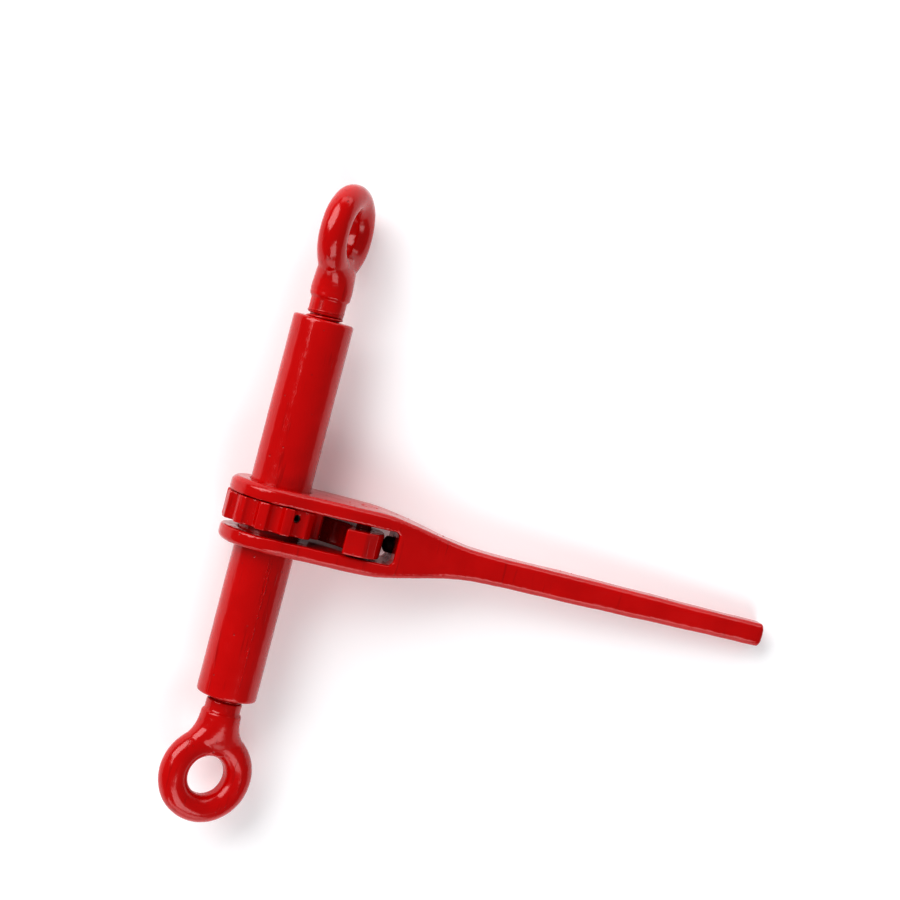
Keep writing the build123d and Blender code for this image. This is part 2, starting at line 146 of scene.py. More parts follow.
@dataclass
class Graph:
    """A node tree under construction.

    Attributes:
        tree: the tree that the nodes go into.
    """

    tree: bpy.types.NodeTree

    def add(self, kind: str, inputs: object = (), **settings: object) -> bpy.types.Node:
        """Adds any node.

        Args:
            kind: the node's type name.
            inputs: values in socket order, or a mapping of socket name to value.
            settings: properties set on the node before its inputs.

        Returns:
            The new node.
        """
        node = self.tree.nodes.new(kind)
        for name, value in settings.items():
            setattr(node, name, value)
        pairs = inputs.items() if isinstance(inputs, dict) else enumerate(inputs)
        for key, value in pairs:
            if isinstance(value, Wire):
                self.tree.links.new(value.socket, node.inputs[key])
            elif isinstance(value, bpy.types.NodeSocket):
                self.tree.links.new(value, node.inputs[key])
            elif value is not None:
                node.inputs[key].default_value = value
        return node

    def node(self, kind: str, inputs: object = (), out: object = 0, **settings: object) -> Wire:
        """Adds any node and returns one of its outputs.

        Args:
            kind: the node's type name.
            inputs: values in socket order, or a mapping of socket name to value.
            out: the output's name or index.
            settings: properties set on the node.

        Returns:
            That output, ready for arithmetic.
        """
        return Wire(self, self.add(kind, inputs, **settings).outputs[out])

    def noise(self, place: Wire, scale: float, detail: float, roughness: float = 0.5) -> Wire:
        """Adds a noise texture.

        Args:
            place: where the noise is read.
            scale: how tight it is, per metre.
            detail: how many finer layers it has.
            roughness: how strong the finer layers are.

        Returns:
            The noise, about 0.5 in the middle.
        """
        values = {"Vector": place, "Scale": scale, "Detail": detail, "Roughness": roughness}
        return self.node("ShaderNodeTexNoise", values)

    def bump(self, height: Wire) -> Wire:
        """Adds a bump of a height in metres and returns the normal that it gives."""
        values = {"Strength": 1.0, "Distance": 1.0, "Height": height}
        return self.node("ShaderNodeBump", values, out="Normal")

    def blend(self, amount: object, low: object, high: object) -> Wire:
        """Mixes two colours.

        Args:
            amount: share of the second colour, between 0 and 1.
            low: the first colour.
            high: the second colour.

        Returns:
            The mixed colour.
        """
        mixer = self.add("ShaderNodeMix", (), data_type="RGBA")
        for key, value in ((0, amount), (6, low), (7, high)):
            if isinstance(value, Wire):
                self.tree.links.new(value.socket, mixer.inputs[key])
            else:
                mixer.inputs[key].default_value = value
        return Wire(self, mixer.outputs[2])


# ---------------------------------------------------------------- finishes


def linear(red: int, green: int, blue: int) -> Colour:
    """Linear colour of an 8-bit display colour.

    Args:
        red: level of red, 0 to 255.
        green: level of green.
        blue: level of blue.

    Returns:
        The opaque linear colour.
    """

    def one(value: int) -> float:
        """Linear level of one channel."""
        share = value / 255.0
        return share / 12.92 if share <= 0.04045 else ((share + 0.055) / 1.055) ** 2.4

    return (one(red), one(green), one(blue), 1.0)


def blank_material(name: str) -> tuple[bpy.types.Material, Graph]:
    """A material with no nodes yet.

    Args:
        name: the material's name.

    Returns:
        The material and the graph to fill.
    """
    material = bpy.data.materials.new(name)
    material.use_nodes = True
    graph = Graph(material.node_tree)
    graph.tree.nodes.clear()
    return material, graph


@dataclass(frozen=True)
class Enamel:
    """Thick glossy red enamel, dipped: waves, orange peel, sags along the barrel, pits with painted
    shade in them, and nibs.

    Attributes:
        name: the material's name.
        colour: the coat where it is full.
        thin: the coat where it pulls thin over ridges.
        deep: the coat where it gathers in the sags; in the pits the same colour is painted shade.
        waves_per_metre: how tight the slow unevenness of the surface is.
        wave_height: height of the slow unevenness.
        peel_per_metre: how tight the orange peel is.
        peel_height: height of the orange peel.
        sags_per_metre: how tight the sags are.
        sag_stretch: how tight they are along the barrel, as a share of that.
        sag_height: height of the sags.
        pits_per_metre: how tight the cells are that may hold a pit.
        pit_depth: depth of the pits.
        patches_per_metre: how tight the duller patches are.
        rough: roughness of the coat at its glossiest and dullest.
        refraction: index of refraction of the coat.
        clear: weight and roughness of the clear layer on top.
    """

    name: str = "red_enamel"
    colour: Colour = linear(184, 0, 0)
    thin: Colour = linear(194, 0, 0)
    deep: Colour = linear(148, 0, 0)
    waves_per_metre: float = 70.0
    wave_height: float = 0.55 * MM
    peel_per_metre: float = 1500.0
    peel_height: float = 0.03 * MM
    sags_per_metre: float = 260.0
    sag_stretch: float = 0.10
    sag_height: float = 0.09 * MM
    pits_per_metre: float = 150.0
    pit_depth: float = 0.12 * MM
    patches_per_metre: float = 24.0
    rough: tuple[float, float] = (0.11, 0.26)
    refraction: float = 1.46
    clear: tuple[float, float] = (0.25, 0.06)

    def build(self) -> bpy.types.Material:
        """Makes and returns the material."""
        material, graph = blank_material(self.name)
        spot = graph.node("ShaderNodeTexCoord", out="Object")
        waves = graph.noise(spot, self.waves_per_metre, 3.0, 0.45)
        peel = graph.noise(spot, self.peel_per_metre, 2.0)
        along_run = (1.0, self.sag_stretch, 1.0)
        stretched = graph.node("ShaderNodeVectorMath", (spot, along_run), operation="MULTIPLY")
        sags = graph.noise(stretched, self.sags_per_metre, 2.0, 0.6)
        cells = graph.add(
            "ShaderNodeTexVoronoi", {"Vector": spot, "Scale": self.pits_per_metre, "Randomness": 1.0}
        )
        near = Wire(graph, cells.outputs["Distance"]).step(0.16, 0.05)
        luck = graph.node("ShaderNodeSeparateColor", {0: Wire(graph, cells.outputs["Color"])})
        pits = near * luck.step(0.80, 0.86)
        sag_ridges = sags.step(0.60, 0.74)
        height = waves * self.wave_height + peel * self.peel_height
        height = height + sag_ridges * self.sag_height - pits * self.pit_depth
        patches = graph.noise(spot, self.patches_per_metre, 4.0)
        colour = graph.blend(patches.step(0.35, 0.7), self.colour, self.thin)
        colour = graph.blend(sag_ridges * 0.45, colour, self.deep)
        # painted shade: each pit is darkened towards the deep colour, as shade in a small hollow would
        # darken it
        colour = graph.blend(pits * 0.8, colour, self.deep)
        gloss_low, gloss_high = self.rough
        clear_weight, clear_rough = self.clear
        rough = gloss_low + (gloss_high - gloss_low) * patches.step(0.3, 0.75) + pits * 0.2
        shader = graph.node(
            "ShaderNodeBsdfPrincipled",
            {
                "Base Color": colour,
                "Roughness": rough,
                "Normal": graph.bump(height),
                "IOR": self.refraction,
                "Coat Weight": clear_weight,
                "Coat Roughness": clear_rough,
            },
        )
        graph.add("ShaderNodeOutputMaterial", {"Surface": shader})
        return material


@dataclass(frozen=True)
class SpringSteel:
    """Dark oiled steel with fine drawn lines and a little brown.

    Attributes:
        name: the material's name.
        dark: colour of the oxide.
        bright: colour where it is rubbed.
        rust: colour of the brown bloom.
        wear_per_metre: how tight the rubbed places are.
        bloom_per_metre: how tight the brown bloom is.
        lines_per_metre: how tight the drawn lines are.
        line_stretch: how tight they are along X, as a share of that.
        line_height: height of the lines.
        wear_height: height of the rubbed places.
        metallic: how far the surface is bare metal.
    """

    name: str = "dark_spring_steel"
    dark: Colour = linear(52, 48, 46)
    bright: Colour = linear(112, 106, 100)
    rust: Colour = linear(84, 50, 34)
    wear_per_metre: float = 320.0
    bloom_per_metre: float = 130.0
    lines_per_metre: float = 3800.0
    line_stretch: float = 0.08
    line_height: float = 0.012 * MM
    wear_height: float = 0.02 * MM
    metallic: float = 0.9

    def build(self) -> bpy.types.Material:
        """Makes and returns the material."""
        material, graph = blank_material(self.name)
        spot = graph.node("ShaderNodeTexCoord", out="Object")
        wear = graph.noise(spot, self.wear_per_metre, 5.0, 0.6)
        bloom = graph.noise(spot, self.bloom_per_metre, 4.0)
        along_wire = (self.line_stretch, 1.0, 1.0)
        drawn = graph.node("ShaderNodeVectorMath", (spot, along_wire), operation="MULTIPLY")
        lines = graph.noise(drawn, self.lines_per_metre, 2.0)
        colour = graph.blend(wear.step(0.45, 0.7), self.dark, self.bright)
        colour = graph.blend(bloom.step(0.55, 0.75) * 0.6, colour, self.rust)
        height = lines * self.line_height + wear * self.wear_height
        rough = 0.28 + 0.25 * wear + 0.15 * bloom.step(0.5, 0.8)
        shader = graph.node(
            "ShaderNodeBsdfPrincipled",
            {
                "Base Color": colour,
                "Roughness": rough,
                "Metallic": self.metallic,
                "Normal": graph.bump(height),
            },
        )
        graph.add("ShaderNodeOutputMaterial", {"Surface": shader})
        return material


@dataclass(frozen=True)
class StudioFloor:
    """Matt white sweep with the faintest mottling.

    Attributes:
        name: the material's name.
        colour: the sweep's colour.
        mottle: colour of the faint mottling.
        mottle_share: how far the mottling shows.
        mottles_per_metre: how tight it is.
        glow: how far the sweep is lit from below, as a light table is.
        glow_colour: colour of that light.
        rough: the sweep's roughness.
    """

    name: str = "white_sweep"
    colour: Colour = (0.93, 0.93, 0.935, 1.0)
    mottle: Colour = (0.9, 0.9, 0.9, 1.0)
    mottle_share: float = 0.02
    mottles_per_metre: float = 6.0
    glow: float = 0.10
    glow_colour: Colour = (0.96, 0.98, 1.0, 1.0)
    rough: float = 0.9

    def build(self) -> bpy.types.Material:
        """Makes and returns the material."""
        material, graph = blank_material(self.name)
        spot = graph.node("ShaderNodeTexCoord", out="Object")
        cloud = graph.noise(spot, self.mottles_per_metre, 3.0).step(0.3, 0.7)
        shader = graph.node(
            "ShaderNodeBsdfPrincipled",
            {
                "Base Color": graph.blend(cloud * self.mottle_share, self.colour, self.mottle),
                "Roughness": self.rough,
                "Emission Color": self.glow_colour,
                "Emission Strength": self.glow,
            },
        )
        graph.add("ShaderNodeOutputMaterial", {"Surface": shader})
        return material


class Finish(Enum):
    """The finishes by the record's slot names."""

    ENAMEL = "red_enamel"
    SPRING_STEEL = "dark_spring_steel"


@dataclass
class Finishes:
    """Every material, built once and shared by the pieces.

    Attributes:
        made: materials by finish.
    """

    made: dict[Finish, bpy.types.Material] = field(default_factory=dict)

    def __post_init__(self) -> None:
        """Builds the materials."""
        self.made[Finish.ENAMEL] = Enamel().build()
        self.made[Finish.SPRING_STEEL] = SpringSteel().build()

    def dress(self, piece: bpy.types.Object, finish: Finish) -> None:
        """Gives a piece one finish all over."""
        piece.data.materials.clear()
        piece.data.materials.append(self.made[finish])

    def dress_node(self, node: bpy.types.Object, finish: Finish) -> None:
        """Gives a CAD node that stays visible its finish."""
        for place in node.material_slots:
            place.material = self.made[finish]


# ---------------------------------------------------------------- meshes


def new_object(name: str, mesh: bpy.types.Mesh) -> bpy.types.Object:
    """Puts a mesh in the scene as an object at the origin."""
    piece = bpy.data.objects.new(name, mesh)
    bpy.context.scene.collection.objects.link(piece)
    return piece


def settle(piece: bpy.types.Object) -> bpy.types.Object:
    """Turns a piece's modifiers into its mesh.

    Args:
        piece: the object whose modifiers are to be applied.

    Returns:
        The same object with a plain mesh and no modifiers.
    """
    graph = bpy.context.evaluated_depsgraph_get()
    graph.update()
    mesh = bpy.data.meshes.new_from_object(piece.evaluated_get(graph))
    old = piece.data
    piece.modifiers.clear()
    piece.data = mesh
    mesh.name = piece.name
    if isinstance(old, bpy.types.Mesh) and old.users == 0:
        bpy.data.meshes.remove(old)
    return piece


def smooth(piece: bpy.types.Object) -> None:
    """Shades every face of a piece smoothly."""
    piece.data.polygons.foreach_set("use_smooth", [True] * len(piece.data.polygons))
    piece.data.update()


@dataclass(frozen=True)
class Softening:
    """How a CAD solid becomes a painted forging.

    Attributes:
        voxel: grain of the new surface.
        passes: how many times the grain is smoothed, which rounds the edges.
        swell: height of the slow unevenness left by the die.
        swell_length: distance over which it varies.
    """

    voxel: float
    passes: int
    swell: float = 0.0
    swell_length: float = 18.0 * MM

    def apply(self, piece: bpy.types.Object) -> bpy.types.Object:
        """Softens a piece in place.

        Args:
            piece: an object with a closed mesh.

        Returns:
            The same object with its new mesh.
        """
        grain = piece.modifiers.new("grain", "REMESH")
        grain.mode = "VOXEL"
        grain.voxel_size = self.voxel
        grain.adaptivity = 0.0
        rounding = piece.modifiers.new("rounding", "SMOOTH")
        rounding.factor = 0.5
        rounding.iterations = self.passes
        settle(piece)
        if self.swell:
            self._swell(piece.data)
        smooth(piece)
        return piece

    def _swell(self, mesh: bpy.types.Mesh) -> None:
        """Moves each vertex along its normal by slow noise."""
        mesh.update()
        count = 3 * len(mesh.vertices)
        places, normals = np.empty(count, np.float32), np.empty(count, np.float32)
        mesh.vertices.foreach_get("co", places)
        mesh.vertex_normals.foreach_get("vector", normals)
        places, normals = places.reshape(-1, 3), normals.reshape(-1, 3)
        spots = [Vector(place) / self.swell_length for place in places]
        lifts = [noise.noise(spot) + 0.4 * noise.noise(spot * 2.7) for spot in spots]
        places += normals * (np.array(lifts, np.float32) * self.swell)[:, None]
        mesh.vertices.foreach_set("co", places.ravel())
        mesh.update()


def copy_of(node: bpy.types.Object, name: str) -> bpy.types.Object:
    """A new object with a copy of a CAD node's mesh, welded.

    Args:
        node: the CAD node.
        name: the new piece's name.

    Returns:
        The new piece.
    """
    piece = new_object(name, node.data.copy())
    shell = bmesh.new()
    shell.from_mesh(piece.data)
    bmesh.ops.remove_doubles(shell, verts=shell.verts, dist=WELD_DISTANCE)
    shell.to_mesh(piece.data)
    shell.free()
    return piece


def loft(name: str, rings: list[list[Vector]]) -> bpy.types.Mesh:
    """A closed skin over a row of outlines with the same number of points.

    Args:
        name: the mesh's name.
        rings: the outlines, from one end to the other.

    Returns:
        The mesh, with its faces outwards.
    """
    count = len(rings[0])
    shell = bmesh.new()
    rows = [[shell.verts.new(spot) for spot in ring] for ring in rings]
    for near, far in zip(rows, rows[1:]):
        for k in range(count):
            shell.faces.new((near[k], near[(k + 1) % count], far[(k + 1) % count], far[k]))
    shell.faces.new(rows[0])
    shell.faces.new(rows[-1])
    bmesh.ops.recalc_face_normals(shell, faces=shell.faces)
    mesh = bpy.data.meshes.new(name)
    shell.to_mesh(mesh)
    shell.free()
    return mesh


def weld_in(piece: bpy.types.Object, addition: bpy.types.Mesh) -> None:
    """Adds a closed mesh to a piece, to be fused with it when the piece is softened."""
    shell = bmesh.new()
    shell.from_mesh(piece.data)
    shell.from_mesh(addition)
    shell.to_mesh(piece.data)
    shell.free()
    bpy.data.meshes.remove(addition)


def cut_beyond(piece: bpy.types.Object, level: float, side: float) -> None:
    """Cuts a piece square to Y and closes the cut.

    Args:
        piece: the object to cut.
        level: the Y level of the cut.
        side: +1 keeps what lies above the level, -1 what lies below.
    """
    shell = bmesh.new()
    shell.from_mesh(piece.data)
    parts = [*shell.verts, *shell.edges, *shell.faces]
    cut = bmesh.ops.bisect_plane(
        shell, geom=parts, plane_co=(0, level, 0), plane_no=(0, -side, 0), clear_outer=True
    )
    rim = [e for e in cut["geom_cut"] if isinstance(e, bmesh.types.BMEdge)]
    bmesh.ops.holes_fill(shell, edges=rim, sides=0)
    bmesh.ops.recalc_face_normals(shell, faces=shell.faces)
    shell.to_mesh(piece.data)
    shell.free()


@dataclass
class NodeShape:
    """A Geometry Nodes tree with named inputs, run once on an object.

    Attributes:
        name: the tree's name.
        tree: the node group.
        graph: its nodes.
        entry: the node with the tree's inputs.
        values: value of each named input.
    """

    name: str
    tree: bpy.types.NodeTree = field(init=False)
    graph: Graph = field(init=False)
    entry: bpy.types.Node = field(init=False)
    values: dict[str, object] = field(default_factory=dict)

    def __post_init__(self) -> None:
        """Makes the empty tree with its geometry sockets."""
        self.tree = bpy.data.node_groups.new(self.name, "GeometryNodeTree")
        self.tree.interface.new_socket("Geometry", in_out="INPUT", socket_type="NodeSocketGeometry")
        self.tree.interface.new_socket("Geometry", in_out="OUTPUT", socket_type="NodeSocketGeometry")
        self.graph = Graph(self.tree)
        self.entry = self.graph.add("NodeGroupInput")

    def size(self, name: str, value: float) -> Wire:
        """Adds a named number input.

        Args:
            name: the input's name.
            value: its value, whole for a count.

        Returns:
            The input, ready for arithmetic.
        """
        kind = "NodeSocketInt" if isinstance(value, int) else "NodeSocketFloat"
        self.tree.interface.new_socket(name, in_out="INPUT", socket_type=kind)
        self.values[name] = value
        return Wire(self.graph, self.entry.outputs[name])

    def base(self) -> Wire:
        """The geometry of the object that carries the tree."""
        return Wire(self.graph, self.entry.outputs["Geometry"])

    def close(self, geometry: Wire, material: bpy.types.Material) -> None:
        """Ends the tree with real geometry.

        Args:
            geometry: what the tree makes.
            material: the one material it is all made of.
        """
        solid = self.graph.node("GeometryNodeRealizeInstances", {"Geometry": geometry})
        dressed = self.graph.node("GeometryNodeSetMaterial", {"Geometry": solid, "Material": material})
        self.graph.add("NodeGroupOutput", {"Geometry": dressed})

    def run(self, name: str, carrier: bpy.types.Mesh | None = None) -> bpy.types.Object:
        """Runs the tree on a new object.

        Args:
            name: the new piece's name.
            carrier: the mesh that the tree starts from, if it needs one.

        Returns:
            The piece, with a plain mesh.
        """
        piece = new_object(name, carrier or bpy.data.meshes.new(name))
        step = piece.modifiers.new(self.name, "NODES")
        step.node_group = self.tree
        for item in self.tree.interface.items_tree:
            if item.item_type == "SOCKET" and item.in_out == "INPUT" and item.name in self.values:
                step[item.identifier] = self.values[item.name]
        settle(piece)
        smooth(piece)
        return piece


# ---------------------------------------------------------------- the binder


@dataclass
class Axis:
    """Where the barrel's axis runs and how the frame's sub-assemblies are placed on it.

    Attributes:
        low: lower corner of the barrel's box.
        high: its upper corner.
        x: where the axis runs in X.
        z: where it runs in Z.
        radius: the barrel's radius.
    """

    frame: dict[str, object]

    def __post_init__(self) -> None:
        """Reads the axis from the barrel's box."""
        low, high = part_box("barrel")
        self.low, self.high = low, high
        self.x = (low.x + high.x) / 2
        self.z = (low.z + high.z) / 2
        self.radius = (high.x - low.x) / 2

    def node(self, name: str) -> bpy.types.Object:
        """The CAD node of that name."""
        return self.frame["nodes"][name]

    def gear_centre(self) -> Vector:
        """Centre of the ratchet gear on the barrel's axis."""
        low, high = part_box("ratchet_gear")
        return Vector((self.x, (low.y + high.y) / 2, self.z))

    def handle_direction(self) -> Vector:
        """Unit vector along the handle, out to its grip."""
        slide = next(joint for joint in self.frame["joints"] if joint["name"] == "detent_plunge")
        along = Vector(slide["axis"]).normalized()
        return along if along.x > 0 else -along

    def around(self, radius: float, turn: float, level: float) -> Vector:
        """A point about the axis.

        Args:
            radius: distance from the axis.
            turn: degrees from +Z towards +X.
            level: place along the axis.

        Returns:
            The point.
        """
        angle = math.radians(turn)
        return Vector((self.x + radius * math.sin(angle), level, self.z + radius * math.cos(angle)))


@dataclass
class Barrel:
    """The turned barrel with its paint runs.

    Attributes:
        axis: the barrel's axis.
        finishes: the materials.
        soft: how its edges soften.
        runs: turn, first and last share of the length, and half width of each paint run.
        wander: how far a run strays to each side.
        run_points: points along a run.
    """

    axis: Axis
    finishes: Finishes
    soft: Softening = Softening(voxel=0.9 * MM, passes=5, swell=0.10 * MM, swell_length=30 * MM)
    runs: tuple[tuple[float, float, float, float], ...] = (
        (17.0, 0.02, 0.40, 0.40 * MM),
        (12.0, 0.26, 0.41, 0.25 * MM),
        (-150.0, 0.55, 0.9, 0.4 * MM),
    )
    wander: float = 0.6 * MM
    run_points: int = 160

    def build(self) -> None:
        """Makes the barrel and its runs."""
        shell = self.soft.apply(copy_of(self.axis.node("barrel"), "barrel_tube"))
        self.finishes.dress(shell, Finish.ENAMEL)
        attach(shell, "barrel")
        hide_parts("barrel")
        LOG.info("barrel: %d faces", len(shell.data.polygons))
        for number, run in enumerate(self.runs, 1):
            self._run(number, *run)

    def _run(self, number: int, turn: float, start: float, end: float, width: float) -> None:
        """One raised run of enamel along the barrel.

        Args:
            number: which run it is.
            turn: its place round the barrel in degrees.
            start: where it begins, as a share of the length.
            end: where it ends, as a share of the length.
            width: its half width.
        """
        length = self.axis.high.y - self.axis.low.y
        first = self.axis.around(self.axis.radius, turn, self.axis.low.y + start * length)
        last = self.axis.around(self.axis.radius, turn, self.axis.low.y + end * length)
        shape = NodeShape(f"paint_run_{number}")
        graph = shape.graph
        half_width = shape.size("Half width", width)
        wander = shape.size("Wander", self.wander)
        detail = shape.size("Points", self.run_points)
        line = graph.node("GeometryNodeCurvePrimitiveLine", {"Start": first, "End": last})
        line = graph.node("GeometryNodeResampleCurve", {"Curve": line, "Count": detail})
        place = graph.node("GeometryNodeInputPosition")
        slow = graph.noise(place, 60.0, 3.0)
        fine = graph.noise(place, 240.0, 3.0)
        shift = graph.node("ShaderNodeCombineXYZ", {"X": (slow - 0.5) * wander * 2.0})
        line = graph.node("GeometryNodeSetPosition", {"Geometry": line, "Offset": shift})
        share = graph.node("GeometryNodeSplineParameter", out="Factor")
        ends = share.step(0.0, 0.08) * share.step(1.0, 0.8)
        swell = half_width * ends * (0.25 + 1.5 * fine.step(0.35, 0.7))
        line = graph.node("GeometryNodeSetCurveRadius", {"Curve": line, "Radius": swell})
        ring = graph.node("GeometryNodeCurvePrimitiveCircle", {"Resolution": 10, "Radius": 1.0})
        tube = graph.node(
            "GeometryNodeCurveToMesh",
            {"Curve": line, "Profile Curve": ring, "Scale": swell, "Fill Caps": True},
        )
        shape.close(tube, self.finishes.made[Finish.ENAMEL])
        piece = shape.run(f"paint_run_{number}")
        self.finishes.dress(piece, Finish.ENAMEL)
        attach(piece, "barrel")
        LOG.info("paint run %d: %d faces", number, len(piece.data.polygons))


@dataclass
class Forging:
    """A painted forging that keeps its CAD solid's form.

    Attributes:
        node: the CAD node.
        body: the body it moves with.
        name: the piece's name.
        soft: how it softens.
        nibs: how many nibs of dried enamel stand on it.
        seed: which scatter of nibs it gets.
    """

    node: str
    body: str
    name: str
    soft: Softening
    nibs: int = 0
    seed: int = 1

    def build(self, axis: Axis, finishes: Finishes) -> None:
        """Makes the forging and its nibs.

        Args:
            axis: the barrel's axis, which knows the CAD nodes.
            finishes: the materials.
        """
        piece = self.soft.apply(self._blank(axis))
        finishes.dress(piece, Finish.ENAMEL)
        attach(piece, self.body)
        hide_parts(self.node)
        LOG.info("%s: %d faces", self.name, len(piece.data.polygons))
        if self.nibs:
            scatter = Nibs(self.nibs, self.seed).build(piece, finishes)
            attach(scatter, self.body)

    def _blank(self, axis: Axis) -> bpy.types.Object:
        """The forging before it is softened."""
        return copy_of(axis.node(self.node), self.name)


@dataclass
class HandleForging(Forging):
    """The handle, whose grip ends in a square cut.

    Attributes:
        reach: from the barrel's axis to the end of the grip.
        cut_length: length of the squared end.
        half_width: half the grip's width there.
        half_depth: half its depth.
        bevel: width of its bevels.
        middle: level of the grip's middle along the barrel, from the gear's centre.
        end_round: how far the end face's edges are drawn in.
    """

    reach: float = 342.2 * MM
    cut_length: float = 16.0 * MM
    half_width: float = 7.8 * MM
    half_depth: float = 8.8 * MM
    bevel: float = 2.6 * MM
    middle: float = -1.9 * MM
    end_round: float = 1.4 * MM

    def _blank(self, axis: Axis) -> bpy.types.Object:
        """The handle with its end squared, before it is softened."""
        piece = super()._blank(axis)
        out = axis.handle_direction()
        centre = axis.gear_centre()
        up = out.cross(Vector((0, 1, 0))).normalized()
        if up.z < 0:
            up = -up
        rings = []
        for along, inset in (
            (self.reach - self.cut_length, 0.0),
            (self.reach - self.end_round, 0.0),
            (self.reach, self.end_round),
        ):
            wide, deep, bevel = self.half_width - inset, self.half_depth - inset, self.bevel
            corners = (
                (wide, deep - bevel),
                (wide - bevel, deep),
                (bevel - wide, deep),
                (-wide, deep - bevel),
                (-wide, bevel - deep),
                (bevel - wide, -deep),
                (wide - bevel, -deep),
                (wide, bevel - deep),
            )
            base = centre + out * along + Vector((0, self.middle, 0))
            rings.append([base + Vector((0, across, 0)) + up * level for across, level in corners])
        weld_in(piece, loft("grip_end", rings))
        return piece


@dataclass(frozen=True)
class Nibs:
    """Dried specks and beads of enamel standing on a surface.

    Attributes:
        count: roughly how many.
        seed: which scatter.
        radius: the largest bead's radius.
        smallest: the smallest bead's size, as a share of the largest.
        flatness: a bead's height as a share of its width.
    """

    count: int
    seed: int
    radius: float = 0.55 * MM
    smallest: float = 0.35
    flatness: float = 0.55

    def build(self, host: bpy.types.Object, finishes: Finishes) -> bpy.types.Object:
        """Scatters the beads on a host.

        Args:
            host: the painted piece.
            finishes: the materials.

        Returns:
            All the beads as one piece.
        """
        area = sum(face.area for face in host.data.polygons)
        shape = NodeShape(f"{host.name}_nibs")
        graph = shape.graph
        density = shape.size("Density", self.count / area)
        seed = shape.size("Seed", self.seed)
        radius = shape.size("Bead radius", self.radius)
        where = {"Mesh": shape.base(), "Density": density, "Seed": seed}
        points = graph.add("GeometryNodeDistributePointsOnFaces", where)
        span = {2: self.smallest, 3: 1.0, "Seed": seed}
        chance = graph.node("FunctionNodeRandomValue", span, out=1, data_type="FLOAT")
        bead = graph.node("GeometryNodeMeshIcoSphere", {"Radius": radius, "Subdivisions": 3})
        size = {"X": chance, "Y": chance, "Z": chance * self.flatness}
        flat = graph.node("ShaderNodeCombineXYZ", size)
        beads = graph.node(
            "GeometryNodeInstanceOnPoints",
            {
                "Points": Wire(graph, points.outputs["Points"]),
                "Instance": bead,
                "Rotation": Wire(graph, points.outputs["Rotation"]),
                "Scale": flat,
            },
        )
        shape.close(beads, finishes.made[Finish.ENAMEL])
        piece = shape.run(f"{host.name}_nibs", host.data.copy())
        finishes.dress(piece, Finish.ENAMEL)
        LOG.info("%s: %d faces", piece.name, len(piece.data.polygons))
        return piece


@dataclass(frozen=True)
class ThreadForm:
    """The binder's screw thread.

    Attributes:
        lead: travel in one turn.
        major: crest radius.
        root: root radius.
        crest_width: width of the crest.
        root_width: width of the ridge at the root.
        steps: sides round the screw.
        sink: how far the ridge's foot is sunk into the core.
        core_overrun: how much longer the core is than the ridge.
        core_rings: rows of faces along the core.
    """

    lead: float = 4.0 * MM
    major: float = 12.0 * MM
    root: float = 10.0 * MM
    crest_width: float = 1.0 * MM
    root_width: float = 2.9 * MM
    steps: int = 72
    sink: float = 0.4 * MM
    core_overrun: float = 4.0 * MM
    core_rings: int = 24

    def shape(
        self, name: str, length: float, left_hand: bool, material: bpy.types.Material
    ) -> NodeShape:
        """Geometry Nodes for a screw of this thread along +Z from the origin.

        Args:
            name: the tree's name.
            length: threaded length.
            left_hand: whether the thread is left hand.
            material: the screw's material.

        Returns:
            The tree, ready to run.
        """
        shape = NodeShape(name)
        graph = shape.graph
        lead = shape.size("Lead", self.lead)
        turns = shape.size("Turns", length / self.lead)
        major = shape.size("Major radius", self.major)
        root = shape.size("Root radius", self.root)
        steps = shape.size("Sides", self.steps)
        crest = shape.size("Crest width", self.crest_width)
        foot = shape.size("Root width", self.root_width)
        helix = graph.node(
            "GeometryNodeCurveSpiral",
            {
                "Resolution": steps,
                "Rotations": turns,
                "Start Radius": root,
                "End Radius": root,
                "Height": turns * lead,
                "Reverse": left_hand,
            },
        )
        helix = graph.node("GeometryNodeSetCurveNormal", {"Curve": helix}, mode="Z_UP")
        outline = graph.node("GeometryNodeCurvePrimitiveQuadrilateral", mode="POINTS")
        quad = outline.socket.node
        depth = major - root
        corners = (
            (-self.sink, foot * -0.55),
            (depth, crest * -0.5),
            (depth, crest * 0.5),
            (-self.sink, foot * 0.55),
        )
        for number, (out, along) in enumerate(corners, 1):
            point = graph.node("ShaderNodeCombineXYZ", {"X": out, "Y": along})
            graph.tree.links.new(point.socket, quad.inputs[f"Point {number}"])
        ridge = graph.node(
            "GeometryNodeCurveToMesh", {"Curve": helix, "Profile Curve": outline, "Fill Caps": True}
        )
        core = graph.node(
            "GeometryNodeMeshCylinder",
            {
                "Vertices": steps,
                "Side Segments": self.core_rings,
                "Radius": root,
                "Depth": turns * lead + self.core_overrun,
            },
        )
        middle = graph.node("ShaderNodeCombineXYZ", {"Z": turns * lead * 0.5})
        core = graph.node("GeometryNodeTransform", {"Geometry": core, "Translation": middle})
        joined = graph.add("GeometryNodeJoinGeometry")
        for part in (ridge, core):
            graph.tree.links.new(part.socket, joined.inputs["Geometry"])
        shape.close(Wire(graph, joined.outputs["Geometry"]), material)
        return shape


